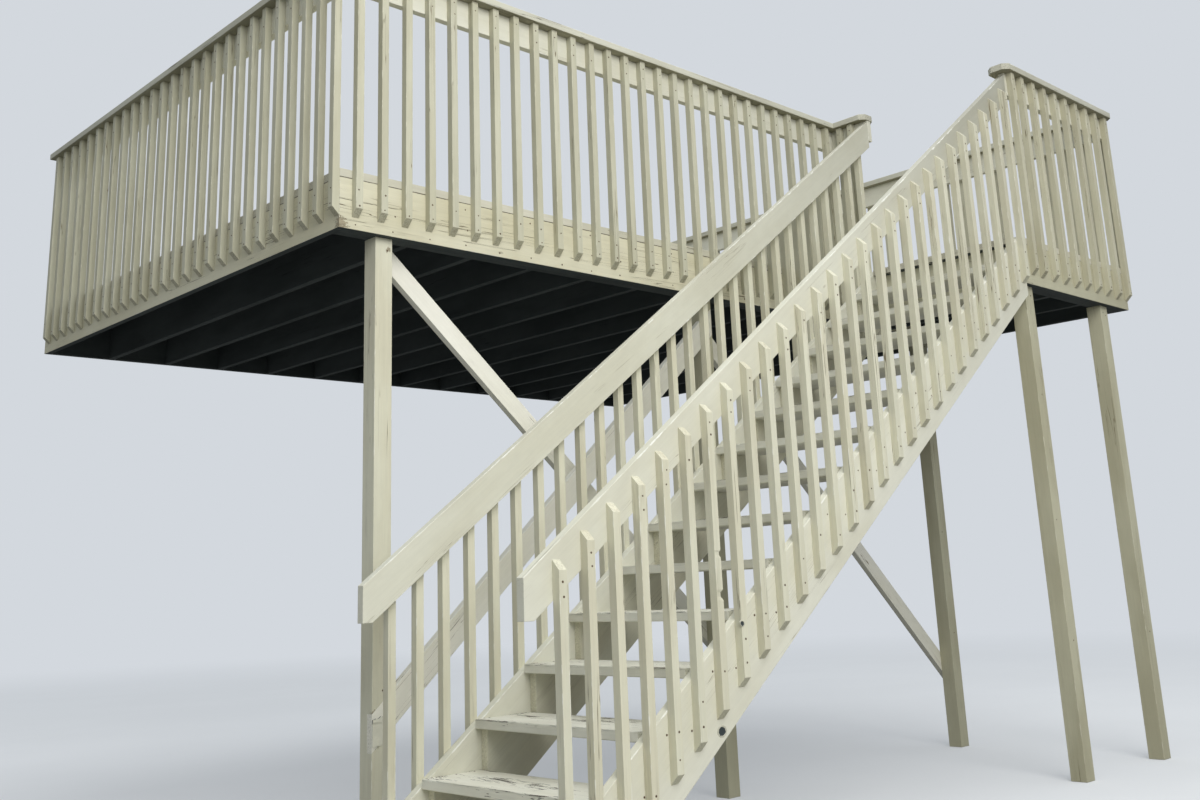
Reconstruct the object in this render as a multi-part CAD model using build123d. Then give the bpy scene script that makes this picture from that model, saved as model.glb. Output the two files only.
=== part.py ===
from build123d import *
import math
import os

# Raised timber deck with a landing and a side stair, bolted to a wall by its ledger.
# Millimetres. X runs along the deck's front, up the stair. Y runs towards the wall. Z is up.
# The origin is the centre of the ledger's back face, where the deck meets the wall.

# Timber stock
STOCK = 38.0              # thickness of every board
POST = 89.0               # square posts
BALUSTER = 36.0           # square balusters
RIM_HEIGHT = 235.0        # rims, joists, beams and ledger, on edge
STRINGER_HEIGHT = 286.0   # stringers and carriages, before cutting
HANDRAIL_HEIGHT = 140.0   # sloping handrail boards, on edge
TOP_RAIL_HEIGHT = 140.0   # level boards under the cap, on edge
CAP_WIDTH = 140.0
FALLING_WIDTH = 89.0      # braces behind the posts
FALLING_INSET = 30.0      # posts' outer sides to the ends of those braces
RISING_WIDTH = 114.0      # brace let into the posts' front faces
DECK_BOARD_WIDTH = 140.0
DECK_BOARD_GAP = 7.0

# Deck and landing
DECK_LENGTH = 4996.0      # along the wall
DECK_DEPTH = 3514.0       # wall to the outer face of the front rim
LANDING_LENGTH = 1301.0   # stair's top end to the deck's right edge
LANDING_DEPTH = 1260.0    # from the deck's front rim out to the landing's rim
JOIST_PITCH = 406.0

# Stair
RISERS = 15
RISE = 195.0
RUN = 262.0
TREAD_DEPTH = 286.0
TREAD_LENGTH = 938.0      # clear width between the stringers
NOSING = 32.0             # treads ahead of the carriages' riser cuts
LANDING_NOSING = 58.0     # landing boards ahead of the stair's top end
STRINGER_DROP = 28.0      # nosing line down to the stringer's upper edge, plumb
STAIR_FOOT = 10.0         # stringer and handrail ends ahead of the lowest nosing

# Stair railings
RAIL_RISE = 938.0         # nosing line up to the handrail's top edge, plumb
RAIL_CLIP = 44.0          # level cut at the lower corner of each handrail
FLIGHT_PITCH = 131.4
OUTER_FIRST = 118.0       # lowest nosing to the first baluster of the outer railing
INNER_FIRST = 133.0
FLIGHT_BALUSTER = 1179.0  # length along the back face
BALUSTER_BELOW_TOP = 38.0  # handrail's top edge down to the baluster's upper tip
FOOT_CLEARANCE = 12.0     # ground up to the tip of a baluster trimmed short at the foot

# Guards round the deck and landing
GUARD_HEIGHT = 1058.0     # decking to the top of the cap
GUARD_PITCH = 131.5
GUARD_BOTTOM = 52.0       # rim's lower edge up to the baluster tips
FRONT_FIRST = 63.0        # deck's left edge to the first front baluster
LANDING_FIRST = 62.0      # stair's top end to the landing's odd first baluster
LANDING_PITCH = 136.6     # the landing's other balusters, counted from its right corner
LANDING_BALUSTERS = 9
RETURN_BALUSTERS = 2
CAP_OVERHANG = 20.0       # cap beyond the balusters' outer face
CAP_CLIP = 34.0           # cut-off corners of the caps
EDGE_ROUND = 5.0

# Posts and braces
LEFT_POST = 212.0         # deck's left edge to the left post
MIDDLE_POST = 2366.0      # deck's left edge to the middle post
RIGHT_POST = 304.0        # right post to the deck's right edge
LANDING_POST = 234.0      # landing's right post to the deck's right edge
LEFT_FALL_DROP = -2.0     # rim's lower edge down to a brace's middle at its upper post
LEFT_FALL_RISE = 794.0    # ground up to a brace's middle at its lower post
RIGHT_FALL_DROP = 130.0
RIGHT_FALL_RISE = 484.0
RISING_DROP = 174.0
RISING_RISE = 578.0

# Levels
RIM_TOP = RIM_HEIGHT / 2
RIM_BOTTOM = -RIM_HEIGHT / 2
DECK_TOP = RIM_TOP + STOCK
GROUND = DECK_TOP - RISERS * RISE
CAP_TOP = DECK_TOP + GUARD_HEIGHT
CAP_BOTTOM = CAP_TOP - STOCK
TOP_RAIL_BOTTOM = CAP_BOTTOM - TOP_RAIL_HEIGHT
GUARD_TIP = RIM_BOTTOM + GUARD_BOTTOM

# Plan of the deck and landing
LEFT = -DECK_LENGTH / 2
RIGHT = DECK_LENGTH / 2
FRONT = -DECK_DEPTH
LANDING_FRONT = FRONT - LANDING_DEPTH
STAIR_TOP = RIGHT - LANDING_LENGTH    # where the stringers end
LANDING_LEFT = STAIR_TOP + STOCK      # outer face of the landing's left rim

# Plan of the stair, from its outer face towards the wall
TREAD_Y0 = LANDING_FRONT + STOCK
TREAD_Y1 = TREAD_Y0 + TREAD_LENGTH
INNER_FACE = TREAD_Y1 + STOCK

# Slope of the stair
SLOPE = RISE / RUN
PLUMB = math.sqrt(1 + SLOPE * SLOPE)  # plumb depth of a sloping board over its width
TREADS = RISERS - 1
TOP_NOSING = STAIR_TOP - LANDING_NOSING
LOWEST_NOSING = TOP_NOSING - TREADS * RUN
FOOT = LOWEST_NOSING - STAIR_FOOT

# Caps, outer edges
CAP_EDGE = BALUSTER + CAP_OVERHANG
CAP_LEFT = LEFT - CAP_EDGE
CAP_FRONT = FRONT - CAP_EDGE
CAP_RIGHT = RIGHT + CAP_EDGE
CAP_STAIR = LANDING_LEFT - CAP_EDGE
CAP_LANDING = LANDING_FRONT - CAP_EDGE

# Posts
FRONT_POST_Y = FRONT + STOCK
LANDING_POST_Y = LANDING_FRONT + STOCK
LEFT_POST_X = LEFT + LEFT_POST
MIDDLE_POST_X = LEFT + MIDDLE_POST
RIGHT_POST_X = RIGHT - RIGHT_POST - POST
LANDING_POST_X = RIGHT - LANDING_POST - POST


def nosing_line(x):
    return DECK_TOP + SLOPE * (x - TOP_NOSING)


def handrail_top(x):
    return nosing_line(x) + RAIL_RISE


def board(x0, x1, y0, y1, z0, z1):
    """A square-cut board between two corners."""
    box = Box(x1 - x0, y1 - y0, z1 - z0, align=(Align.MIN, Align.MIN, Align.MIN))
    return Pos(x0, y0, z0) * box


def side_cut(outline, y0, y1):
    """A board with a side outline of (x, z) points."""
    face = make_face(Polyline(*[(x, y0, z) for x, z in outline], close=True))
    return extrude(face, amount=y1 - y0, dir=(0, 1, 0))


def end_cut(outline, x0, x1):
    """A board with an end outline of (y, z) points."""
    face = make_face(Polyline(*[(x0, y, z) for y, z in outline], close=True))
    return extrude(face, amount=x1 - x0, dir=(1, 0, 0))


# Deck frame
def ledger():
    return board(LEFT + STOCK, RIGHT - STOCK, -STOCK, 0, RIM_BOTTOM, RIM_TOP)


def left_rim():
    return board(LEFT, LEFT + STOCK, FRONT + STOCK, 0, RIM_BOTTOM, RIM_TOP)


def right_rim():
    return board(RIGHT - STOCK, RIGHT, LANDING_FRONT + STOCK, 0, RIM_BOTTOM, RIM_TOP)


def front_rim():
    return board(LEFT, RIGHT - STOCK, FRONT, FRONT + STOCK, RIM_BOTTOM, RIM_TOP)


def landing_rim():
    return board(STAIR_TOP, RIGHT, LANDING_FRONT, LANDING_FRONT + STOCK, RIM_BOTTOM, RIM_TOP)


def landing_left_rim():
    return board(LANDING_LEFT, LANDING_LEFT + STOCK, LANDING_FRONT + STOCK, FRONT, RIM_BOTTOM, RIM_TOP)


def stair_hanger():
    """Board on the landing's left rim that the stair hangs from."""
    return board(STAIR_TOP, LANDING_LEFT, TREAD_Y0, INNER_FACE, RIM_BOTTOM, RIM_TOP)


def beam_board(x0, y0, ply):
    """One of the boards doubled up behind a front rim, over the posts."""
    y = y0 + STOCK * ply
    return board(x0, RIGHT - STOCK, y, y + STOCK, RIM_BOTTOM, RIM_TOP)


def joists(x0, y0, y1):
    x1 = RIGHT - STOCK
    bays = math.ceil((x1 - x0) / JOIST_PITCH)
    pitch = (x1 - x0) / bays
    lefts = [x0 + pitch * i - STOCK / 2 for i in range(1, bays)]
    return [board(x, x + STOCK, y0, y1, RIM_BOTTOM, RIM_TOP) for x in lefts]


def decking(x0, y0, y1):
    """Boards along X with small gaps, the last one ripped to fit."""
    planks = []
    y = y0
    while y < y1 - DECK_BOARD_GAP:
        far = min(y + DECK_BOARD_WIDTH, y1)
        planks.append(board(x0, RIGHT, y, far, RIM_TOP, DECK_TOP))
        y = far + DECK_BOARD_GAP
    return planks


def landing_boards():
    """Between the stringers the boards run on past the stair's top end as its highest nosing."""
    beyond = TOP_NOSING - STOCK
    notches = [
        board(beyond, STAIR_TOP, LANDING_FRONT, TREAD_Y0, RIM_TOP, DECK_TOP),
        board(beyond, STAIR_TOP, TREAD_Y1, INNER_FACE, RIM_TOP, DECK_TOP),
        board(beyond, LANDING_LEFT, INNER_FACE, FRONT, RIM_TOP, DECK_TOP),
    ]
    planks = decking(TOP_NOSING, LANDING_FRONT, FRONT - DECK_BOARD_GAP)
    for notch in notches:
        planks = [plank - notch for plank in planks]
    return planks


# Stair
def tread(n):
    """Tread n, counted down from the landing, its front edges rounded."""
    x0 = TOP_NOSING - n * RUN
    top = DECK_TOP - n * RISE
    plank = board(x0, x0 + TREAD_DEPTH, TREAD_Y0, TREAD_Y1, top - STOCK, top)
    return fillet(plank.edges().filter_by(Axis.Y).sort_by(Axis.X)[:2], EDGE_ROUND)


def stringer(y0):
    """Solid sloping board, level on the ground, plumb at both ends and level with the decking."""
    def upper(x):
        return nosing_line(x) - STRINGER_DROP

    def lower(x):
        return upper(x) - STRINGER_HEIGHT * PLUMB

    at_deck = TOP_NOSING + STRINGER_DROP / SLOPE
    at_ground = FOOT + (GROUND - lower(FOOT)) / SLOPE
    outline = [(FOOT, GROUND), (FOOT, upper(FOOT)), (at_deck, DECK_TOP), (STAIR_TOP, DECK_TOP),
               (STAIR_TOP, lower(STAIR_TOP)), (at_ground, GROUND)]
    return side_cut(outline, y0, y0 + STOCK)


def carriage(y0):
    """Notched board beside a stringer, one level seat under each tread."""
    def riser_cut(n):
        return TOP_NOSING + NOSING - n * RUN

    outline = [(riser_cut(TREADS), GROUND)]
    for n in range(TREADS, 0, -1):
        seat = DECK_TOP - n * RISE - STOCK
        outline.append((riser_cut(n), seat))
        outline.append((riser_cut(n - 1), seat))
    lower_at_top = RIM_TOP + SLOPE * (STAIR_TOP - riser_cut(0)) - STRINGER_HEIGHT * PLUMB
    at_ground = STAIR_TOP - (lower_at_top - GROUND) / SLOPE
    outline += [(riser_cut(0), RIM_TOP), (STAIR_TOP, RIM_TOP)]
    outline += [(STAIR_TOP, lower_at_top), (at_ground, GROUND)]
    return side_cut(outline, y0, y0 + STOCK)


def handrail(y0):
    """Sloping board that butts the top rail, trimmed level under the cap if it reaches so high."""
    depth = HANDRAIL_HEIGHT * PLUMB
    clip_x = FOOT + RAIL_CLIP
    clip_z = handrail_top(clip_x) - depth
    outline = [(FOOT, handrail_top(FOOT)), (LANDING_LEFT, handrail_top(LANDING_LEFT)),
               (LANDING_LEFT, handrail_top(LANDING_LEFT) - depth), (clip_x, clip_z), (FOOT, clip_z)]
    below_cap = board(FOOT, LANDING_LEFT, y0, y0 + STOCK, GROUND, CAP_BOTTOM)
    return side_cut(outline, y0, y0 + STOCK) & below_cap


# Balusters, each held by its back face, with ends bevelled at 45 degrees
def baluster_outline(back, out, tip, top, top_bevel):
    front = back + out * BALUSTER
    return [(back, tip), (front, tip + BALUSTER), (front, top - top_bevel), (back, top)]


def positions(first, limit, pitch):
    """Near edges of the balusters from first that end short of the limit."""
    count = math.floor((limit - BALUSTER - first) / pitch) + 1
    return [first + i * pitch for i in range(count)]


def flight_balusters(first, back, out):
    balusters = []
    for x in positions(LOWEST_NOSING + first, STAIR_TOP, FLIGHT_PITCH):
        top = handrail_top(x) - BALUSTER_BELOW_TOP
        tip = max(top - FLIGHT_BALUSTER, GROUND + FOOT_CLEARANCE)
        outline = baluster_outline(back, out, tip, top, BALUSTER)
        balusters.append(end_cut(outline, x, x + BALUSTER))
    return balusters


def guard_balusters_along_x(xs, back):
    outline = baluster_outline(back, -1, GUARD_TIP, CAP_BOTTOM, 0)
    return [end_cut(outline, x, x + BALUSTER) for x in xs]


def guard_balusters_along_y(ys, back, out):
    outline = baluster_outline(back, out, GUARD_TIP, CAP_BOTTOM, 0)
    return [side_cut(outline, y, y + BALUSTER) for y in ys]


def front_balusters():
    lefts = positions(LEFT + FRONT_FIRST, LANDING_LEFT - BALUSTER, GUARD_PITCH)
    return guard_balusters_along_x(lefts, FRONT)


def left_balusters():
    return guard_balusters_along_y(positions(FRONT, 0, GUARD_PITCH), LEFT, -1)


def right_balusters():
    return guard_balusters_along_y(positions(LANDING_FRONT, 0, GUARD_PITCH), RIGHT, 1)


def landing_balusters():
    xs = [RIGHT - BALUSTER - i * LANDING_PITCH for i in range(LANDING_BALUSTERS)]
    return guard_balusters_along_x([STAIR_TOP + LANDING_FIRST] + xs, LANDING_FRONT)


def return_balusters():
    """Short guard between the inner flight railing and the deck's front guard."""
    near = INNER_FACE + BALUSTER
    step = (FRONT - BALUSTER - near) / RETURN_BALUSTERS
    ys = [near + (i + 0.5) * step - BALUSTER / 2 for i in range(RETURN_BALUSTERS)]
    return guard_balusters_along_y(ys, LANDING_LEFT, -1)


# Top rails, on edge behind the balusters
def front_top_rail():
    return board(LEFT, LANDING_LEFT + STOCK, FRONT, FRONT + STOCK, TOP_RAIL_BOTTOM, CAP_BOTTOM)


def left_top_rail():
    return board(LEFT, LEFT + STOCK, FRONT + STOCK, 0, TOP_RAIL_BOTTOM, CAP_BOTTOM)


def right_top_rail():
    return board(RIGHT - STOCK, RIGHT, LANDING_FRONT + STOCK, 0, TOP_RAIL_BOTTOM, CAP_BOTTOM)


def landing_top_rail():
    return board(LANDING_LEFT, RIGHT, LANDING_FRONT, LANDING_FRONT + STOCK, TOP_RAIL_BOTTOM, CAP_BOTTOM)


def return_top_rail():
    return board(LANDING_LEFT, LANDING_LEFT + STOCK, TREAD_Y1, FRONT, TOP_RAIL_BOTTOM, CAP_BOTTOM)


# Caps, flat over the top rails and balusters
def cap(x0, x1, y0, y1, clipped):
    """Cap board with rounded long edges; clipped lists its cut-off (x, y) corners."""
    plank = board(x0, x1, y0, y1, CAP_BOTTOM, CAP_TOP)
    uprights = [plank.edges().filter_by(Axis.Z).sort_by_distance((x, y, CAP_BOTTOM + STOCK / 2))[0]
                for x, y in clipped]
    if uprights:
        plank = chamfer(uprights, CAP_CLIP)
    along = Axis.X if x1 - x0 > y1 - y0 else Axis.Y
    return fillet(plank.edges().filter_by(along), EDGE_ROUND)


def front_cap():
    far = CAP_STAIR + CAP_WIDTH
    back = CAP_FRONT + CAP_WIDTH
    return cap(CAP_LEFT, far, CAP_FRONT, back, [(CAP_LEFT, CAP_FRONT), (far, back)])


def left_cap():
    return cap(CAP_LEFT, CAP_LEFT + CAP_WIDTH, CAP_FRONT + CAP_WIDTH, 0, [])


def right_cap():
    return cap(CAP_RIGHT - CAP_WIDTH, CAP_RIGHT, CAP_LANDING + CAP_WIDTH, 0, [])


def landing_cap():
    back = CAP_LANDING + CAP_WIDTH
    clipped = [(CAP_STAIR, CAP_LANDING), (CAP_STAIR, back), (CAP_RIGHT, CAP_LANDING)]
    return cap(CAP_STAIR, CAP_RIGHT, CAP_LANDING, back, clipped)


def return_cap():
    far = CAP_STAIR + CAP_WIDTH
    near = TREAD_Y1 - EDGE_ROUND
    return cap(CAP_STAIR, far, near, CAP_FRONT, [(CAP_STAIR, near), (far, near)])


# Posts and braces
def post(x, y):
    return board(x, x + POST, y, y + POST, GROUND, RIM_BOTTOM)


def brace(first_post, last_post, z0, z1, width, y, inset):
    """Sloping board across two posts, cut plumb at both; z0 and z1 are its middle at their centres."""
    slope = (z1 - z0) / (last_post - first_post)
    half = width * math.sqrt(1 + slope * slope) / 2
    start = z0 - slope * POST / 2
    end = z1 + slope * POST / 2
    far = last_post + POST
    plank = side_cut([(first_post, start - half), (first_post, start + half), (far, end + half),
                      (far, end - half)], y, y + STOCK)
    return plank & board(first_post + inset, far - inset, y, y + STOCK, GROUND, RIM_BOTTOM)


def falling_brace(first_post, last_post, drop, rise):
    """Brace on the back of the posts, trimmed level under the joists."""
    high = RIM_BOTTOM - drop
    low = GROUND + rise
    return brace(first_post, last_post, high, low, FALLING_WIDTH, FRONT_POST_Y + POST, FALLING_INSET)


def rising_brace(first_post, last_post):
    """Brace let in flush with the front of the posts."""
    low = GROUND + RISING_RISE
    high = RIM_BOTTOM - RISING_DROP
    return brace(first_post, last_post, low, high, RISING_WIDTH, FRONT_POST_Y, 0)


LEFT_RISING = rising_brace(LEFT_POST_X, MIDDLE_POST_X)
FRONT_BEAM_Y = FRONT + STOCK
LANDING_BEAM_Y = LANDING_FRONT + STOCK
NODES = {
    "ledger": ledger(),
    "left_rim": left_rim(),
    "right_rim": right_rim(),
    "front_rim": front_rim(),
    "front_beam_outer": beam_board(LEFT + STOCK, FRONT_BEAM_Y, 0),
    "front_beam_inner": beam_board(LEFT + STOCK, FRONT_BEAM_Y, 1),
    "deck_joists": Compound(children=joists(LEFT + STOCK, FRONT_BEAM_Y + 2 * STOCK, -STOCK)),
    "deck_boards": Compound(children=decking(LEFT, FRONT, 0)),
    "landing_rim": landing_rim(),
    "landing_left_rim": landing_left_rim(),
    "landing_beam_outer": beam_board(LANDING_LEFT + STOCK, LANDING_BEAM_Y, 0),
    "landing_beam_inner": beam_board(LANDING_LEFT + STOCK, LANDING_BEAM_Y, 1),
    "landing_joists": Compound(children=joists(LANDING_LEFT + STOCK, LANDING_BEAM_Y + 2 * STOCK, FRONT)),
    "landing_boards": Compound(children=landing_boards()),
    "stair_hanger": stair_hanger(),
    "outer_stringer": stringer(LANDING_FRONT),
    "inner_stringer": stringer(TREAD_Y1),
    "outer_carriage": carriage(TREAD_Y0),
    "inner_carriage": carriage(TREAD_Y1 - STOCK),
    "outer_handrail": handrail(LANDING_FRONT),
    "inner_handrail": handrail(TREAD_Y1),
    "outer_flight_balusters": Compound(children=flight_balusters(OUTER_FIRST, LANDING_FRONT, -1)),
    "inner_flight_balusters": Compound(children=flight_balusters(INNER_FIRST, INNER_FACE, 1)),
    "front_balusters": Compound(children=front_balusters()),
    "left_balusters": Compound(children=left_balusters()),
    "right_balusters": Compound(children=right_balusters()),
    "landing_balusters": Compound(children=landing_balusters()),
    "return_balusters": Compound(children=return_balusters()),
    "front_top_rail": front_top_rail(),
    "left_top_rail": left_top_rail(),
    "right_top_rail": right_top_rail(),
    "landing_top_rail": landing_top_rail(),
    "return_top_rail": return_top_rail(),
    "front_cap": front_cap(),
    "left_cap": left_cap(),
    "right_cap": right_cap(),
    "landing_cap": landing_cap(),
    "return_cap": return_cap(),
    "left_post": post(LEFT_POST_X, FRONT_POST_Y) - LEFT_RISING,
    "middle_post": post(MIDDLE_POST_X, FRONT_POST_Y) - LEFT_RISING,
    "right_post": post(RIGHT_POST_X, FRONT_POST_Y),
    "landing_left_post": post(LANDING_LEFT, LANDING_POST_Y),
    "landing_right_post": post(LANDING_POST_X, LANDING_POST_Y),
    "left_falling_brace": falling_brace(LEFT_POST_X, MIDDLE_POST_X, LEFT_FALL_DROP, LEFT_FALL_RISE),
    "left_rising_brace": LEFT_RISING,
    "right_falling_brace": falling_brace(MIDDLE_POST_X, RIGHT_POST_X, RIGHT_FALL_DROP, RIGHT_FALL_RISE),
}
for step in range(1, TREADS + 1):
    NODES[f"tread_{step:02d}"] = tread(RISERS - step)

os.makedirs("parts", exist_ok=True)
for name, shape in NODES.items():
    export_step(shape, f"parts/{name}.step")
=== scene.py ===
import math
import random

import bmesh
import bpy
from mathutils import Matrix, Vector


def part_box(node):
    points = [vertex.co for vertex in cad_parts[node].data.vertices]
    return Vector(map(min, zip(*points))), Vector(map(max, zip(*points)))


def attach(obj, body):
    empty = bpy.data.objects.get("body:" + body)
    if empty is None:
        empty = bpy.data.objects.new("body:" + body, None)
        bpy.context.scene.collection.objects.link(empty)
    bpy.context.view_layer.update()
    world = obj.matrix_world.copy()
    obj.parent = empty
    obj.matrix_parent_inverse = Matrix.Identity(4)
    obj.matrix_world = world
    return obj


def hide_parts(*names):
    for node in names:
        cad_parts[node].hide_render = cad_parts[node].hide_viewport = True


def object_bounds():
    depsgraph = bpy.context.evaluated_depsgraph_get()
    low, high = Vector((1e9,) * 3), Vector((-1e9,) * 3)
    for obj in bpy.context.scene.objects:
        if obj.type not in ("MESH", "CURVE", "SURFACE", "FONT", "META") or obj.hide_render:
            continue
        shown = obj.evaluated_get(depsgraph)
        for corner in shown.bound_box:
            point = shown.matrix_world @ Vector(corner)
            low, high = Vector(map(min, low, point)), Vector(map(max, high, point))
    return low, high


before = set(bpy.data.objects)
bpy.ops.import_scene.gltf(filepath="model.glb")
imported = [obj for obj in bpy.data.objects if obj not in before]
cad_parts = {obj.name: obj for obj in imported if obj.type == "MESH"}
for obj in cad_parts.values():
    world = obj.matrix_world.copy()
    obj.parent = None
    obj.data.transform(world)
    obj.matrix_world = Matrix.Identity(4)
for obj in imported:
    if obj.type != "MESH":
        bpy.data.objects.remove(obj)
CAD_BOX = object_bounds()
SCENE = bpy.context.scene
SCENE.view_settings.view_transform = "Standard"

# Slope of the stair, as the solids have it, in metres
RISE = 0.195
RUN = 0.262
SLOPE_AXIS = Vector((RUN, 0, RISE)).normalized()

# Directions
DOWNWARDS = Vector((0, 0, -1))
UPWARDS = Vector((0, 0, 1))
FRONTWARDS = Vector((0, -1, 0))
WALLWARDS = Vector((0, 1, 0))
LEFTWARDS = Vector((-1, 0, 0))
RIGHTWARDS = Vector((1, 0, 0))

# Eased edges of boards in general, of balusters, and of treads and floor boards, in metres
BOARD_BEVEL = 0.0022
SMALL_BEVEL = 0.0016
TREAD_BEVEL = 0.003
# Wear of a tread's front edge: most depth, how far in it goes, and the pitch of the cuts
TREAD_WEAR = 0.004
WEAR_REACH = 0.006
WEAR_STEP = 0.024
# How far a baluster's head and foot are out of line, its lower end up or down, and how much of it is foot
BALUSTER_SHIFT = 0.0016
BALUSTER_TIP = 0.004
BALUSTER_FOOT_SHARE = 0.08
# Faces that meet at less than the first angle are one, and edges sharper than the second are eased
FLAT_EDGE = math.radians(1.0)
SHARP_EDGE = math.radians(20)
# Vertices closer than the first are one; the others are how near a brace's end or a chip's edge they count
SAME_PLACE = 2e-5
BRACE_END_REACH = 0.002
CHIP_REACH = 0.001
# Seed of the first board's random draws
FIRST_SEED = 10

# Nail heads: size, each ring's share of the radius with its height above the face, and how far they slip
NAIL_RADIUS = 0.0042
NAIL_STAND = 0.0006
NAIL_SIDES = 8
NAIL_PROFILE = ((1.0, -0.0004), (1.0, NAIL_STAND * 0.5), (0.72, NAIL_STAND))
NAIL_SLIP = 0.004
CAP_NAIL_SUNK = 0.0005

# Where the nails are, in metres from an edge; along the sides of treads, as shares of their depth
GUARD_NAILS_OVER_RIM = (0.105, 0.175)
GUARD_NAILS_UNDER_CAP = (0.045, 0.105)
FLIGHT_NAILS_LOW = (0.085, 0.175)
FLIGHT_NAILS_HIGH = (0.075, 0.125)
TREAD_SIDE_NAILS = (0.14, 0.38, 0.62, 0.86)
TREAD_TOP_NAILS = (0.06, 0.15, 0.24)
TREAD_NAIL_INSET = 0.018
RIM_NAIL_START = 0.08
RIM_NAIL_END = 0.05
RIM_NAIL_PITCH = 0.203
RIM_NAIL_LOW = 0.022
RIM_NAIL_MIDDLE = 0.10
RIM_NAIL_MIDDLE_SHIFT = 0.01
RIM_NAIL_HIGH = 0.03
POST_NAILS = ((0.03, 0.04), (0.06, 0.055), (0.045, 0.62), (0.03, 1.31), (0.05, 1.95))
CAP_NAIL_PITCH = 0.42
CAP_NAIL_ROWS = (0.035, 0.105)
DECK_NAIL_INSET = 0.03
DECK_END_INSET = 0.02
NARROWEST_NAILED_BOARD = 0.08
# The share of the heads that shows
SHOWN_ON_BALUSTERS = 0.85
SHOWN_ON_STRINGERS = 0.8
SHOWN_ON_RIM = 0.7
SHOWN_ON_POSTS = 0.8
SHOWN_ON_CAPS = 0.95
SHOWN_ON_FLOORS = 0.97

# Viewpoint, for an image 1200 by 800
IMAGE_W = 1200
IMAGE_H = 800
FOCAL_PX = 1234.28
CENTRE_X = 608.65
CENTRE_Y = 267.26
YAW = 0.80442
PITCH = 0.25136
ROLL = 0.04109
EYE = (-5.2392, -8.0487, -1.6774)
SENSOR = 36.0

# The floor: its gap under the part, its half size, the distances between which it goes over into the
# backdrop, and the backdrop's share in it near by
FLOOR_GAP = 0.001
FLOOR_REACH = 60.0
FLOOR_NEAR = 5.0
FLOOR_FAR = 17.0
FLOOR_NEAR_SHARE = 0.40
# The fill light from all round
FILL_COLOUR = (0.80, 0.86, 0.92, 1)
FILL_STRENGTH = 0.49

# Where along the front the painted shade towards the landing starts, and where it is deepest
PAINTED_SHADE_START = -1.2
PAINTED_SHADE_END = 1.2
# Broken edges of one outer flight baluster: its number, height, depth and half length
CHIPPED = ((6, -1.733, 0.010, 0.020), (6, -1.581, 0.006, 0.014))
# Worn strips on the second and third treads, on tops, edges and one front: middle, and half length
TREAD_SCUFFS = ((-2.110, -4.080, -2.3795, 0.13), (-2.131, -4.360, -2.3795, 0.15),
                (-2.276, -4.220, -2.3795, 0.07), (-2.282, -4.480, -2.3795, 0.09),
                (-1.835, -3.930, -2.1845, 0.08), (-1.830, -4.300, -2.1845, 0.12),
                (-2.014, -3.980, -2.1845, 0.06), (-2.029, -4.749, -2.202, 0.05))
# Bare spots, each with its middle and reach, and open joints, each with both ends' X, height and width
FASCIA_SPOTS = ((-2.49, -3.514, -0.095, 0.05),)
FASCIA_SEAMS = ((-2.6, 2.6, 0.1160, 0.0026), (-2.6, -2.17, 0.0150, 0.0016))
POST_SPOTS = ((-2.27, -3.476, -2.16, 0.035), (-2.27, -3.476, -2.27, 0.03), (-2.22, -3.476, -0.17, 0.02))
# Knots: place, radius and the heart's height over the face
STRINGER_KNOT_X = -1.600
STRINGER_KNOT_Z = -2.2235
STRINGER_KNOT_SIZE = 0.0245
STRINGER_KNOT_HEART = 0.0003
BALUSTER_KNOT_AT = (-1.489, -4.810, -1.843)
BALUSTER_KNOT_SIZE = 0.0135
BALUSTER_KNOT_HEART = 0.0004
# Form of a knot: each ring's share of the radius with its height, and how uneven and how oval it is
KNOT_SIDES = 22
KNOT_RINGS = ((1.0, -0.0003), (0.9, 0.0016), (0.78, 0.0019), (0.7, 0.0008))
KNOT_HEART_SHARE = 0.25
KNOT_UNEVEN = 0.09
KNOT_OVAL = 0.12
# Torn sheet of paint on the left post: its sides from the post's left edge, and its foot and head
TORN_LEFT = 0.0015
TORN_RIGHT = 0.055
TORN_FOOT = -2.283
TORN_HEAD = -2.178
# Form of the sheet: columns and rows, how its ends slant and how ragged they are, and how far it stands off
TORN_COLUMNS = 7
TORN_ROWS = 13
TORN_HEAD_SLANT = 0.014
TORN_HEAD_RAGGED = 0.003
TORN_FOOT_SLANT = 0.006
TORN_FOOT_RAGGED = 0.001
TORN_STAND = 0.0012
TORN_FOLD = 0.0022
TORN_ROUGH = 0.0005
TORN_CURL = 0.004
TORN_SUNK = 0.0003


def tint(c):
    """A display colour 0-255 to a linear one."""
    out = []
    for v in c:
        v = v / 255.0
        out.append(v / 12.92 if v <= 0.04045 else ((v + 0.055) / 1.055) ** 2.4)
    return (out[0], out[1], out[2], 1.0)


CREAM = tint((214, 212, 191))
CREAM_DEEP = tint((205, 201, 178))
# Light colours for rubbed edges, here and for rails and guards below: edge wear, and a painted highlight on
# the edges
EDGE_WEAR_AND_HIGHLIGHT = tint((229, 228, 216))
DIRT = tint((122, 112, 90))
RAIL_EDGE_WEAR_AND_HIGHLIGHT = tint((238, 238, 230))
RAIL_DIRT = tint((140, 131, 110))
GUARD_EDGE_WEAR_AND_HIGHLIGHT = tint((218, 216, 198))
SCUFF_DARK = tint((44, 38, 30))
SPOT_WOOD = tint((160, 148, 122))
JOINT_DARK = tint((70, 62, 48))
BACKDROP = tint((211, 216, 222))


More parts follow.
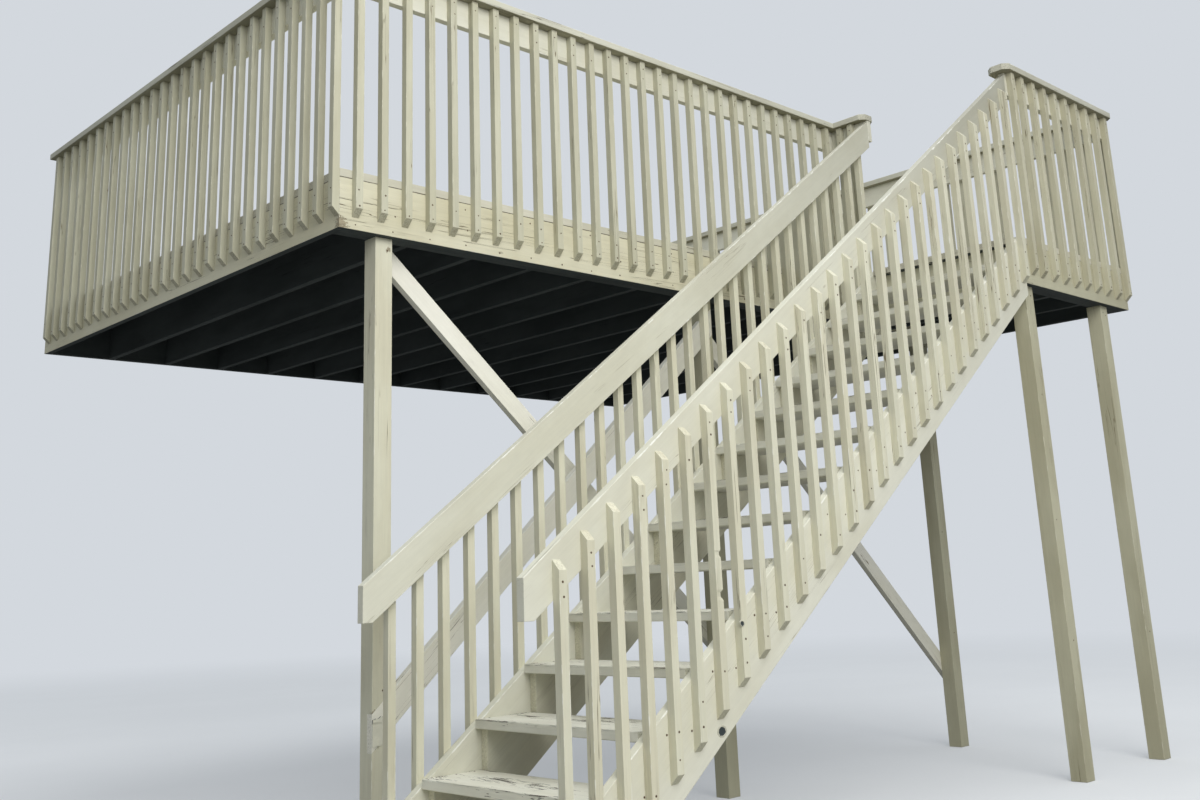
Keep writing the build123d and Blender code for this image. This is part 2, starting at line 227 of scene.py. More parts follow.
# Materials
class Tree:
    """Short calls for building a material's nodes."""

    def __init__(self, name):
        self.mat = bpy.data.materials.new(name)
        self.mat.use_nodes = True
        self.nt = self.mat.node_tree
        self.nt.nodes.clear()
        self.out = self.node("ShaderNodeOutputMaterial")
        self.bsdf = self.node("ShaderNodeBsdfPrincipled")
        self.link(self.bsdf.outputs[0], self.out.inputs[0])

    def node(self, kind):
        return self.nt.nodes.new(kind)

    def link(self, a, b):
        self.nt.links.new(a, b)

    def put(self, socket, value):
        if isinstance(value, bpy.types.NodeSocket):
            self.link(value, socket)
        else:
            socket.default_value = value

    def math(self, op, a, b=None, c=None, clamp=False):
        n = self.node("ShaderNodeMath")
        n.operation = op
        n.use_clamp = clamp
        self.put(n.inputs[0], a)
        if b is not None:
            self.put(n.inputs[1], b)
        if c is not None:
            self.put(n.inputs[2], c)
        return n.outputs[0]

    def vmath(self, op, a, b=None):
        n = self.node("ShaderNodeVectorMath")
        n.operation = op
        self.put(n.inputs[0], a)
        if b is not None:
            self.put(n.inputs[1], b)
        return n.outputs["Value"] if op in ("DOT_PRODUCT", "LENGTH") else n.outputs["Vector"]

    def attr(self, name):
        n = self.node("ShaderNodeAttribute")
        n.attribute_name = name
        return n.outputs["Vector"]

    def here(self):
        """The place on the part, in metres."""
        return self.node("ShaderNodeTexCoord").outputs["Object"]

    def split(self, v):
        n = self.node("ShaderNodeSeparateXYZ")
        self.link(v, n.inputs[0])
        return n.outputs

    def combine(self, x, y, z):
        n = self.node("ShaderNodeCombineXYZ")
        self.put(n.inputs[0], x)
        self.put(n.inputs[1], y)
        self.put(n.inputs[2], z)
        return n.outputs[0]

    def scaled(self, v, s):
        return self.vmath("MULTIPLY", v, s)

    def less(self, value):
        """One less the value."""
        return self.math("SUBTRACT", 1.0, value)

    def centred(self, value):
        """A value from 0 to 1 moved to lie about nought."""
        return self.math("SUBTRACT", value, 0.5)

    def noise(self, v, scale=1.0, detail=3.0, rough=0.55, distort=0.0):
        n = self.node("ShaderNodeTexNoise")
        self.link(v, n.inputs["Vector"])
        n.inputs["Scale"].default_value = scale
        n.inputs["Detail"].default_value = detail
        n.inputs["Roughness"].default_value = rough
        n.inputs["Distortion"].default_value = distort
        return n.outputs["Fac"]

    def voronoi(self, v, scale):
        n = self.node("ShaderNodeTexVoronoi")
        self.link(v, n.inputs["Vector"])
        n.inputs["Scale"].default_value = scale
        return n

    def ramp(self, v, lo, hi, a=0.0, b=1.0):
        n = self.node("ShaderNodeMapRange")
        n.interpolation_type = "SMOOTHSTEP"
        self.put(n.inputs["Value"], v)
        self.put(n.inputs["From Min"], lo)
        self.put(n.inputs["From Max"], hi)
        n.inputs["To Min"].default_value = a
        n.inputs["To Max"].default_value = b
        return n.outputs[0]

    def mix(self, fac, a, b):
        n = self.node("ShaderNodeMix")
        n.data_type = "RGBA"
        self.put(n.inputs["Factor"], fac)
        first = [s for s in n.inputs if s.name == "A" and s.type == "RGBA"][0]
        second = [s for s in n.inputs if s.name == "B" and s.type == "RGBA"][0]
        self.put(first, a)
        self.put(second, b)
        return [s for s in n.outputs if s.type == "RGBA"][0]

    def bump(self, height, strength, distance):
        n = self.node("ShaderNodeBump")
        n.inputs["Strength"].default_value = strength
        n.inputs["Distance"].default_value = distance
        self.link(height, n.inputs["Height"])
        self.link(n.outputs[0], self.bsdf.inputs["Normal"])


def board_coordinates(t):
    """Place in the board, shifted so that no two boards match, and the distance to its nearest edge."""
    place = t.attr("place")
    seed = t.attr("seed")
    shifted = t.vmath("ADD", place, t.scaled(seed, (37.0, 23.0, 11.0)))
    d = t.split(t.vmath("SUBTRACT", t.attr("half"), t.vmath("ABSOLUTE", place)))
    low = t.math("MINIMUM", d[0], d[1])
    high = t.math("MAXIMUM", d[0], d[1])
    edge = t.math("MAXIMUM", low, t.math("MINIMUM", high, d[2]))
    return shifted, edge, seed


def grain_splits(t, p, cracks):
    """Where timber has split along the grain, only in patches."""
    lines = t.noise(t.scaled(p, (0.8, 42.0, 42.0)), 1.0, 2.0, 0.5, 0.15)
    split = t.less(t.ramp(t.math("ABSOLUTE", t.math("SUBTRACT", lines, 0.52)), 0.0015, 0.0075))
    where = t.ramp(t.noise(t.scaled(p, (1.1, 4.0, 4.0)), 1.3, 2.0), 0.53, 0.62)
    return t.math("MULTIPLY", t.math("MULTIPLY", split, where), cracks, clamp=True)


def painted_knots(t, p, mottle):
    """Where knots show through, here and there."""
    cells = t.voronoi(t.scaled(p, (1.0, 2.6, 2.6)), 2.3)
    pick = t.split(cells.outputs["Color"])[0]
    ring = t.math("MULTIPLY", cells.outputs["Distance"], t.math("MULTIPLY_ADD", mottle, 0.5, 0.75))
    return t.math("MULTIPLY", t.less(t.ramp(ring, 0.020, 0.050)), t.math("GREATER_THAN", pick, 0.58))


def rubbed_and_highlit_edges(t, p, edge, ragged, worn):
    """Where paint is rubbed off along the edges, as far in as the metres given; with a light bare colour
    these edges are also a painted highlight.
    """
    reach = t.math("MULTIPLY", t.ramp(ragged, 0.45, 0.75), worn)
    rub = t.less(t.ramp(edge, t.math("MULTIPLY", reach, 0.6), t.math("ADD", reach, 0.0004)))
    return t.math("MULTIPLY", rub, t.ramp(t.noise(t.scaled(p, (3.0, 3.0, 3.0)), 1.0, 2.0), 0.44, 0.56))


def flaked_patches(t, p, edge, normal, peel):
    """Where paint has flaked away in patches, on faces that look up."""
    up = t.ramp(t.split(normal)[2], 0.25, 0.6)
    thin = t.noise(t.scaled(p, (10.0, 105.0, 105.0)), 1.0, 4.0, 0.60)
    far = t.ramp(t.noise(t.scaled(p, (2.2, 9.0, 9.0)), 1.0, 2.0), 0.46, 0.66, 0.0, 0.11)
    near = t.ramp(edge, 0.002, 0.014, 0.09, 0.0)
    lift = t.math("MULTIPLY", t.math("ADD", far, near), up)
    wear_and_highlight = t.ramp(t.math("ADD", thin, lift), 0.735 - peel * 0.1, 0.750 - peel * 0.1)
    return t.math("MULTIPLY", wear_and_highlight, up)


def worn_strip(t, slivers, scuff):
    """Where a strip along a tread is worn, from its middle and half length."""
    x, y, z, reach = scuff
    away = t.vmath("SUBTRACT", t.here(), (x, y, z))
    away = t.vmath("LENGTH", t.scaled(away, (3.6, 1.0, 3.6)))
    return t.ramp(t.math("SUBTRACT", slivers, t.math("MULTIPLY", away, 0.20 / reach)), 0.400, 0.412)


def bare_spot(t, p, spot):
    """Where the paint has come away round one place."""
    away = t.vmath("LENGTH", t.vmath("SUBTRACT", t.here(), spot[:3]))
    chips = t.noise(t.scaled(p, (45.0, 130.0, 130.0)), 1.0, 4.0, 0.6)
    return t.ramp(t.math("SUBTRACT", chips, t.math("DIVIDE", away, spot[3] * 2.2)), 0.22, 0.26)


def open_joint(t, mottle, ragged, seam):
    """Where a long joint or split runs, from one X to another at a height."""
    x0, x1, z, width = seam
    at = t.split(t.here())
    waver = t.math("MULTIPLY", t.centred(mottle), 0.006)
    off = t.math("ABSOLUTE", t.math("ADD", t.math("SUBTRACT", at[2], z), waver))
    line = t.less(t.ramp(off, width * 0.5, width))
    line = t.math("MULTIPLY", line, t.ramp(at[0], x0, x0 + 0.02))
    line = t.math("MULTIPLY", line, t.ramp(at[0], x1 - 0.06, x1, 1.0, 0.0))
    return t.math("MULTIPLY", line, t.ramp(ragged, 0.30, 0.45, 0.35, 1.0))


def paint(name, paint_a, paint_b, bare_and_highlight, dirt, worn=0.006, peel=0.0, cracks=1.0, grain=0.35, rough=0.62,
          grimy=0.45, ends=0.35, streaks=0.20, painted_shade_at_landing=0.92, spots=(), scuffs=(), seams=()):
    """Old paint on sawn timber: grain, streaks, cracks along the grain, knots, wear along the edges with a
    painted highlight where the bare colour is light, and painted shade towards the landing.
    """
    t = Tree(name)
    p, edge, seed = board_coordinates(t)
    normal = t.node("ShaderNodeNewGeometry").outputs["Normal"]
    end = t.ramp(t.math("ABSOLUTE", t.vmath("DOT_PRODUCT", t.attr("axis"), normal)), 0.5, 0.62)
    # Broad change of tone, streaks along the grain and the fine saw marks
    cloud = t.noise(t.scaled(p, (0.9, 3.0, 3.0)), 1.6, 3.0)
    streak = t.noise(t.scaled(p, (1.6, 70.0, 70.0)), 1.0, 4.0, 0.6)
    saw = t.noise(t.scaled(p, (7.0, 420.0, 420.0)), 1.0, 3.0, 0.7)
    mottle = t.noise(t.scaled(p, (14.0, 26.0, 26.0)), 1.0, 4.0, 0.6)
    colour = t.mix(t.ramp(cloud, 0.35, 0.66), paint_a, paint_b)
    light = t.math("MULTIPLY_ADD", t.centred(streak), streaks, 1.0)
    for part, share in ((saw, streaks * 0.8), (mottle, 0.10), (t.split(seed)[0], 0.08)):
        light = t.math("ADD", light, t.math("MULTIPLY", t.centred(part), share))
    # Painted shade: the paint is darkened towards the landing, which gets less light
    along_front = t.split(t.here())[0]
    light = t.math("MULTIPLY", light, t.ramp(along_front, PAINTED_SHADE_START, PAINTED_SHADE_END, 1.0, painted_shade_at_landing))
    colour = t.vmath("MULTIPLY", colour, t.combine(light, light, light))
    # Dirt lies in streaks
    grime = t.noise(t.scaled(p, (2.2, 22.0, 22.0)), 1.0, 5.0, 0.65)
    colour = t.mix(t.ramp(grime, 0.58, 0.84, 0.0, grimy), colour, dirt)
    split = grain_splits(t, p, cracks)
    colour = t.mix(split, colour, dirt)
    knot = painted_knots(t, p, mottle)
    colour = t.mix(t.math("MULTIPLY", knot, 0.42), colour, dirt)
    # Paint gone: along the edges, in patches and at single places; where the bare colour is lighter than the
    # paint, the rubbed edges are also a painted highlight
    ragged = t.noise(t.scaled(p, (16.0, 60.0, 60.0)), 1.0, 4.0, 0.6)
    wear_and_highlight = rubbed_and_highlit_edges(t, p, edge, ragged, worn)
    colour = t.mix(t.math("MULTIPLY", wear_and_highlight, 0.75), colour, bare_and_highlight)
    if peel:
        wear_and_highlight = flaked_patches(t, p, edge, normal, peel)
        colour = t.mix(wear_and_highlight, colour, t.mix(t.ramp(streak, 0.35, 0.55), bare_and_highlight, dirt))
    if scuffs:
        slivers = t.noise(t.scaled(p, (13.0, 150.0, 150.0)), 1.0, 3.0, 0.6)
    for scuff in scuffs:
        gone = worn_strip(t, slivers, scuff)
        colour = t.mix(gone, colour, t.mix(t.ramp(saw, 0.50, 0.75), SCUFF_DARK, bare_and_highlight))
        wear_and_highlight = t.math("MAXIMUM", wear_and_highlight, gone)
    for spot in spots:
        gone = bare_spot(t, p, spot)
        wood = t.mix(t.ramp(saw, 0.4, 0.6), dirt, SPOT_WOOD)
        colour = t.mix(t.math("MULTIPLY", gone, 0.8), colour, wood)
        wear_and_highlight = t.math("MAXIMUM", wear_and_highlight, gone)
    for seam in seams:
        line = open_joint(t, mottle, ragged, seam)
        colour = t.mix(t.math("MULTIPLY", line, 0.85), colour, JOINT_DARK)
        split = t.math("MAXIMUM", split, line)
    # Sawn ends drink the weather; where ends is strong, as on the guards' balusters, the darker ends are also
    # painted shade on ends that face down
    rings = t.noise(t.scaled(p, (60.0, 190.0, 190.0)), 1.0, 4.0, 0.7)
    sawn = t.mix(t.ramp(rings, 0.42, 0.66), colour, dirt)
    colour = t.mix(t.math("MULTIPLY", end, ends), colour, sawn)
    t.put(t.bsdf.inputs["Base Color"], colour)
    shine = t.math("MULTIPLY_ADD", t.centred(streak), 0.25, rough)
    shine = t.math("ADD", shine, t.math("MULTIPLY", wear_and_highlight, 0.18), clamp=True)
    t.put(t.bsdf.inputs["Roughness"], shine)
    t.bsdf.inputs["Specular IOR Level"].default_value = 0.35
    height = t.math("MULTIPLY", saw, 0.5)
    height = t.math("ADD", height, t.math("MULTIPLY", streak, 0.7))
    for part, depth in ((split, 2.0), (wear_and_highlight, 0.8), (knot, 0.4)):
        height = t.math("SUBTRACT", height, t.math("MULTIPLY", part, depth))
    t.bump(height, grain, 0.0012)
    return t.mat


def rail_paint(name, paint_a, paint_b, painted_shade_at_landing=0.92):
    """Paint of the smooth rails and stringers, darkened towards the landing by the share given, as painted
    shade.
    """
    return paint(name, paint_a, paint_b, RAIL_EDGE_WEAR_AND_HIGHLIGHT, RAIL_DIRT, worn=0.009, grain=0.4, grimy=0.18, ends=0.03,
                 cracks=0.6, streaks=0.11, painted_shade_at_landing=painted_shade_at_landing)


PAINT = paint("paint_light", CREAM, CREAM_DEEP, EDGE_WEAR_AND_HIGHLIGHT, DIRT)
PAINT_FASCIA = paint("paint_fascia", tint((211, 207, 183)), tint((201, 196, 169)), EDGE_WEAR_AND_HIGHLIGHT,
                     tint((112, 101, 80)), cracks=1.3, grain=0.8, spots=FASCIA_SPOTS, seams=FASCIA_SEAMS)
PAINT_LEFT_POST = paint("paint_left_post", CREAM, CREAM_DEEP, EDGE_WEAR_AND_HIGHLIGHT, DIRT, spots=POST_SPOTS)
PAINT_RAIL = rail_paint("paint_rail", tint((220, 219, 204)), tint((212, 210, 192)))
# The handrails take deeper painted shade towards the landing than the other boards
PAINT_OUTER_HANDRAIL = rail_paint("paint_outer_handrail", tint((214, 213, 197)), tint((206, 204, 186)), 0.60)
PAINT_INNER_HANDRAIL = rail_paint("paint_inner_handrail", tint((214, 213, 197)), tint((206, 204, 186)), 0.80)
# Near-white coat on the braces: painted light, so that braces lying in the flight's shade come out bright
PAINT_BRACE_PAINTED_LIGHT = paint("paint_brace", tint((240, 238, 226)), tint((233, 231, 216)), EDGE_WEAR_AND_HIGHLIGHT, DIRT, streaks=0.12)
# The landing's coats are darker than the cream as painted shade, since the landing end gets less light; they
# take no more shade towards the landing
PAINT_LANDING_SHADED = paint("paint_landing", tint((188, 185, 160)), tint((176, 172, 146)), tint((208, 206, 188)),
                      DIRT, painted_shade_at_landing=1.0)
PAINT_LANDING_GUARD_SHADED = paint("paint_landing_guard", tint((194, 191, 168)), tint((182, 178, 154)), GUARD_EDGE_WEAR_AND_HIGHLIGHT,
                            DIRT, ends=0.6, painted_shade_at_landing=1.0)
# This coat and the landing guard's darken the balusters' ends more: end grain, and painted shade on ends that
# face down
PAINT_GUARD = paint("paint_guard", tint((196, 194, 173)), tint((186, 183, 160)), GUARD_EDGE_WEAR_AND_HIGHLIGHT, DIRT, ends=0.6)
PAINT_CAP = paint("paint_cap", tint((201, 200, 184)), tint((188, 186, 169)), tint((220, 220, 211)),
                  tint((104, 98, 84)), worn=0.008, grain=0.6, grimy=0.4, cracks=1.2, rough=0.7)
# Darker coat for the caps' undersides: painted shade under the cap's overhang
PAINT_CAP_SHADED_UNDERSIDE = paint("paint_cap_under", tint((160, 157, 136)), tint((142, 139, 118)),
                        tint((182, 180, 160)), tint((92, 86, 70)), grain=0.6, rough=0.7)
PAINT_TREAD = paint("paint_tread", tint((222, 221, 208)), tint((210, 208, 192)), tint((104, 94, 78)),
                    tint((62, 55, 45)), worn=0.003, peel=0.60, grain=0.5, rough=0.68, grimy=0.10, cracks=0.5,
                    scuffs=TREAD_SCUFFS)
PAINT_DECK = paint("paint_deck", tint((203, 200, 184)), tint((190, 187, 169)), tint((146, 135, 114)),
                   tint((96, 86, 70)), worn=0.004, peel=0.30, grain=0.6, rough=0.7)
# Bare timber, painted darker and bluer than it is, as painted shade for the deep shade under the deck; knot
# hearts and torn edges use it too
TIMBER_AND_SHADE = paint("bare_timber", tint((67, 74, 75)), tint((53, 60, 61)), tint((88, 91, 88)), tint((33, 37, 38)),
               worn=0.004, grain=0.7, rough=0.82)
LEDGER = paint("ledger_timber", tint((121, 112, 93)), tint((104, 95, 77)), tint((138, 129, 108)),
               tint((66, 58, 46)), worn=0.004, grain=0.7, rough=0.82)


def rusty(name):
    """Rusted steel of the nail heads."""
    t = Tree(name)
    n = t.noise(t.here(), 600.0, 3.0)
    t.put(t.bsdf.inputs["Base Color"], t.mix(t.ramp(n, 0.4, 0.6), tint((70, 60, 50)), tint((112, 88, 62))))
    t.put(t.bsdf.inputs["Roughness"], t.ramp(n, 0.3, 0.7, 0.5, 0.85))
    t.bsdf.inputs["Metallic"].default_value = 0.6
    t.bump(n, 0.3, 0.0003)
    return t.mat


RUST = rusty("nail_head")


# Boards
def islands(bm):
    """The vertices of each board of a mesh, as lists."""
    bm.verts.ensure_lookup_table()
    seen = set()
    out = []
    for v in bm.verts:
        if v.index in seen:
            continue
        seen.add(v.index)
        stack = [v]
        group = []
        while stack:
            a = stack.pop()
            group.append(a)
            for e in a.link_edges:
                b = e.other_vert(a)
                if b.index not in seen:
                    seen.add(b.index)
                    stack.append(b)
        out.append(group)
    return out


def frame_of(group, axis):
    """Unit vectors along, across and through a board, with its centre and half sizes."""
    pts = [v.co.copy() for v in group]
    if axis is None:
        low = Vector((min(p[i] for p in pts) for i in range(3)))
        high = Vector((max(p[i] for p in pts) for i in range(3)))
        size = high - low
        i = max(range(3), key=lambda k: size[k])
        u = Vector((0, 0, 0))
        u[i] = 1.0
    else:
        u = axis
    side = WALLWARDS if abs(u.y) < 0.9 else RIGHTWARDS
    v = u.cross(side).normalized()
    w = u.cross(v).normalized()
    low = Vector((min(p.dot(a) for p in pts) for a in (u, v, w)))
    high = Vector((max(p.dot(a) for p in pts) for a in (u, v, w)))
    return u, v, w, (low + high) / 2, (high - low) / 2


def board_layers(bm):
    """The layers that the paint reads: place in the board, half sizes, seed and axis."""
    new = bm.verts.layers.float_vector.new
    return new("place"), new("half"), new("seed"), new("axis")


def add_piece(bm, name, materials, slot):
    """Make a piece of the part from a mesh under work."""
    mesh = bpy.data.meshes.new(name)
    bm.to_mesh(mesh)
    bm.free()
    for material in materials:
        mesh.materials.append(material)
    piece = bpy.data.objects.new(name, mesh)
    SCENE.collection.objects.link(piece)
    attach(piece, "root")
    return piece


def cut_across(bm, verts, axis, step):
    """Cross cuts along a board, so that its edges can be worn."""
    low = min(v.co.dot(axis) for v in verts)
    high = max(v.co.dot(axis) for v in verts)
    count = max(1, int((high - low) / step))
    for i in range(1, count):
        geom = bm.verts[:] + bm.edges[:] + bm.faces[:]
        at = axis * (low + (high - low) * i / count)
        bmesh.ops.bisect_plane(bm, geom=geom, dist=1e-6, plane_co=at, plane_no=axis)


def chip(bm, group, z, depth, height):
    """A splinter broken from a baluster's right front edge."""
    right = max(v.co.x for v in group)
    front = min(v.co.y for v in group)
    faces = set(f for v in group for f in v.link_faces)
    edges = set(e for v in group for e in v.link_edges)
    geom = list(group) + list(edges) + list(faces)
    for level in (z - height, z - height * 0.3, z + height * 0.5, z + height):
        cut = bmesh.ops.bisect_plane(bm, geom=geom, dist=1e-6, plane_co=(0, 0, level), plane_no=UPWARDS)
        geom = cut["geom"]
    for v in [g for g in geom if isinstance(g, bmesh.types.BMVert)]:
        inside = z - height * 0.5 < v.co.z < z + height * 0.7
        if inside and abs(v.co.x - right) < CHIP_REACH and abs(v.co.y - front) < CHIP_REACH:
            v.co.x = right - depth
            v.co.y = front + depth * 0.5


def stray(bm, along, rng):
    """Balusters a little out of line at head and foot, with feet a little high or low."""
    for group in islands(bm):
        low = min(v.co.z for v in group)
        high = max(v.co.z for v in group)
        top = rng.uniform(-BALUSTER_SHIFT, BALUSTER_SHIFT)
        foot = rng.uniform(-BALUSTER_SHIFT, BALUSTER_SHIFT)
        drop = rng.uniform(-BALUSTER_TIP, BALUSTER_TIP)
        for v in group:
            k = (v.co.z - low) / (high - low)
            v.co += along * (foot * (1 - k) + top * k)
            if k < BALUSTER_FOOT_SHARE:
                v.co.z += drop


def wear_front(bm, rng):
    """The top front edge of a tread, worn unevenly by feet."""
    top = max(v.co.z for v in bm.verts)
    front = min(v.co.x for v in bm.verts)
    for v in bm.verts:
        if v.co.x < front + WEAR_REACH and v.co.z > top - WEAR_REACH:
            bite = TREAD_WEAR * (0.15 + 0.85 * rng.random() ** 3)
            v.co.x += bite
            v.co.z -= bite * 0.6


def dress(node, name, material, slot, seed, axis=None, bevel=BOARD_BEVEL, astray=None, worn=False, under=None,
          bare_and_shaded_sides=(DOWNWARDS,), chips=()):
    """A piece that stands for a node: the same boards with eased edges, small faults and their own grain."""
    rng = random.Random(seed)
    bm = bmesh.new()
    bm.from_mesh(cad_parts[node].data)
    bmesh.ops.remove_doubles(bm, verts=bm.verts, dist=SAME_PLACE)
    bmesh.ops.dissolve_limit(bm, angle_limit=FLAT_EDGE, verts=bm.verts, edges=bm.edges)
    for index, z, depth, height in chips:
        groups = sorted(islands(bm), key=lambda g: min(v.co.x for v in g))
        chip(bm, groups[index], z, depth, height)
    if astray is not None:
        stray(bm, astray, rng)
    if worn:
        cut_across(bm, bm.verts[:], axis, WEAR_STEP)
    sharp = [e for e in bm.edges if len(e.link_faces) == 2 and e.calc_face_angle(0) > SHARP_EDGE]
    bmesh.ops.bevel(bm, geom=sharp, offset=bevel, segments=2, profile=0.6, affect="EDGES", clamp_overlap=True)
    if worn:
        wear_front(bm, rng)
    place, half, seeds, along = board_layers(bm)
    bmesh.ops.recalc_face_normals(bm, faces=bm.faces)
    for group in islands(bm):
        u, v, w, middle, half_size = frame_of(group, axis)
        own = Vector((rng.random(), rng.random(), rng.random()))
        for a in group:
            a[place] = Vector((a.co.dot(u), a.co.dot(v), a.co.dot(w))) - middle
            a[half] = half_size
            a[seeds] = own
            a[along] = u
    # Faces that look towards bare_and_shaded_sides take the second coat: bare timber on inner sides, painted
    # shade on undersides and faces in deep shade
    if under:
        for f in bm.faces:
            if any(f.normal.dot(side) > 0.7 for side in bare_and_shaded_sides):
                f.material_index = 1
    piece = add_piece(bm, name, (material, under) if under else (material,), slot)
    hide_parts(node)
    return piece


def boxes(piece):
    """Lowest and highest corners of each board of a piece."""
    bm = bmesh.new()
    bm.from_mesh(piece.data)
    out = []
    for group in islands(bm):
        low = Vector((min(v.co[i] for v in group) for i in range(3)))
        high = Vector((max(v.co[i] for v in group) for i in range(3)))
        out.append((low, high))
    bm.free()
    return sorted(out, key=lambda p: (round(p[0].x, 3), round(p[0].y, 3)))


def brace_axis(node):
    """Direction of a brace, from the same corner of both its ends."""
    low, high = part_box(node)
    pts = [v.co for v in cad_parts[node].data.vertices]
    corner = min if node == "left_falling_brace" else max
    left_z = corner(p.z for p in pts if p.x < low.x + BRACE_END_REACH)
    right_z = corner(p.z for p in pts if p.x > high.x - BRACE_END_REACH)
    return (Vector((high.x, 0, right_z)) - Vector((low.x, 0, left_z))).normalized()


PAINTED = ("left_rim", "right_rim", "front_rim", "landing_rim", "landing_left_rim", "stair_hanger",
           "left_post", "middle_post", "right_post", "landing_left_post", "landing_right_post")
TOP_RAILS = ("front_top_rail", "left_top_rail", "right_top_rail", "landing_top_rail", "return_top_rail")
CAPS = ("front_cap", "left_cap", "right_cap", "landing_cap", "return_cap")
BALUSTERS = {"outer_flight_balusters": RIGHTWARDS, "inner_flight_balusters": RIGHTWARDS,
             "front_balusters": RIGHTWARDS, "left_balusters": WALLWARDS, "right_balusters": WALLWARDS,
             "landing_balusters": RIGHTWARDS, "return_balusters": WALLWARDS}
FLIGHT_BOARDS = ("outer_stringer", "inner_stringer", "outer_handrail", "inner_handrail")
CARRIAGES = ("outer_carriage", "inner_carriage")
BRACES = ("left_falling_brace", "left_rising_brace", "right_falling_brace")
TREADS = [n for n in sorted(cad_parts) if n.startswith("tread_")]
FLOORS = ("deck_boards", "landing_boards")
RAW = ("front_beam_outer", "front_beam_inner", "deck_joists", "landing_beam_outer", "landing_beam_inner",
       "landing_joists")
COATS = {"outer_handrail": PAINT_OUTER_HANDRAIL, "inner_handrail": PAINT_INNER_HANDRAIL,
         "front_rim": PAINT_FASCIA, "left_rim": PAINT_FASCIA, "left_post": PAINT_LEFT_POST,
         "landing_rim": PAINT_LANDING_SHADED, "landing_left_post": PAINT_LANDING_SHADED,
         "landing_right_post": PAINT_LANDING_SHADED, "middle_post": PAINT_LANDING_SHADED, "right_post": PAINT_LANDING_SHADED,
         "landing_balusters": PAINT_LANDING_GUARD_SHADED, "front_balusters": PAINT_GUARD,
         "left_balusters": PAINT_GUARD, "right_balusters": PAINT_GUARD, "return_balusters": PAINT_GUARD}
INNER_SIDES = {"front_rim": WALLWARDS, "landing_rim": WALLWARDS, "left_rim": RIGHTWARDS,
               "right_rim": LEFTWARDS, "landing_left_rim": RIGHTWARDS}
CHIPS = {"outer_flight_balusters": CHIPPED}


def looks():
    """Each node with the end of its piece's name, its coat and slot, and how it is dressed."""
    for n in PAINTED:
        # Rims: undersides and inner sides take the dark timber coat, as bare wood and as painted shade
        how = dict(under=TIMBER_AND_SHADE, bare_and_shaded_sides=(DOWNWARDS, INNER_SIDES[n])) if n in INNER_SIDES else {}
        yield n, "_painted", COATS.get(n, PAINT), "painted_wood", how
    for n in TOP_RAILS:
        yield n, "_painted", PAINT_RAIL, "painted_wood", {}
    # Caps: the undersides take the darker coat as painted shade
    for n in CAPS:
        yield n, "_painted", PAINT_CAP, "painted_wood", dict(under=PAINT_CAP_SHADED_UNDERSIDE)
    for n, along in BALUSTERS.items():
        how = dict(bevel=SMALL_BEVEL, axis=UPWARDS, astray=along, chips=CHIPS.get(n, ()))
        yield n, "_painted", COATS.get(n, PAINT), "painted_wood", how
    for n in FLIGHT_BOARDS:
        yield n, "_painted", COATS.get(n, PAINT_RAIL), "painted_wood", dict(axis=SLOPE_AXIS)
    for n in CARRIAGES:
        yield n, "_painted", PAINT, "painted_wood", dict(axis=SLOPE_AXIS)
    for n in BRACES:
        yield n, "_painted", PAINT_BRACE_PAINTED_LIGHT, "painted_wood", dict(axis=brace_axis(n))
    for n in TREADS:
        yield n, "_worn", PAINT_TREAD, "worn_tread", dict(axis=WALLWARDS, bevel=TREAD_BEVEL, worn=True)
    # Floor boards: their undersides take the dark timber coat as painted shade
    for n in FLOORS:
        yield n, "_worn", PAINT_DECK, "worn_tread", dict(axis=RIGHTWARDS, bevel=TREAD_BEVEL, under=TIMBER_AND_SHADE)
    # The ledger: its front and underside take the dark timber coat as painted shade
    yield "ledger", "_timber", LEDGER, "raw_timber", dict(under=TIMBER_AND_SHADE, bare_and_shaded_sides=(DOWNWARDS, FRONTWARDS))
    # Joists and beams take the dark timber coat whole, as painted shade
    for n in RAW:
        yield n, "_timber", TIMBER_AND_SHADE, "raw_timber", {}


PIECES = {}
for seed, (n, ending, coat, slot, how) in enumerate(looks(), FIRST_SEED):
    PIECES[n] = dress(n, n + ending, coat, slot, seed, **how)


# Fasteners
def nail(bm, at, out, radius):
    """A low round head that stands a little proud of a face."""
    side = out.orthogonal().normalized()
    other = out.cross(side)
    rings = []
    for r, h in NAIL_PROFILE:
        ring = []
        for i in range(NAIL_SIDES):
            a = 2 * math.pi * i / NAIL_SIDES
            spoke = side * math.cos(a) + other * math.sin(a)
            ring.append(bm.verts.new(at + spoke * radius * r + out * h))
        rings.append(ring)
    for low_ring, high_ring in zip(rings, rings[1:]):
        for i in range(NAIL_SIDES):
            k = (i + 1) % NAIL_SIDES
            bm.faces.new((low_ring[i], low_ring[k], high_ring[k], high_ring[i]))
    bm.faces.new(rings[-1])


class Heads:
    """Many nail heads joined in one piece."""

    def __init__(self, name, seed):
        self.name = name
        self.rng = random.Random(seed)
        self.bm = bmesh.new()

    def add(self, at, out, shown):
        """A head that shows with the chance given, slipped a little to one side."""
        draw = self.rng.uniform
        if self.rng.random() > shown:
            return
        side = out.orthogonal().normalized()
        other = out.cross(side)
        slip = side * draw(-NAIL_SLIP, NAIL_SLIP) + other * draw(-NAIL_SLIP, NAIL_SLIP)
        nail(self.bm, Vector(at) + slip, out, NAIL_RADIUS * draw(0.8, 1.15))

    def done(self, slot):
        add_piece(self.bm, self.name, (RUST,), slot)


RIM_LOW, RIM_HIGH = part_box("front_rim")
CAP_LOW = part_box("front_cap")[0]
STRINGER_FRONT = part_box("outer_stringer")[0].y
STRINGER_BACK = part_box("inner_stringer")[1].y


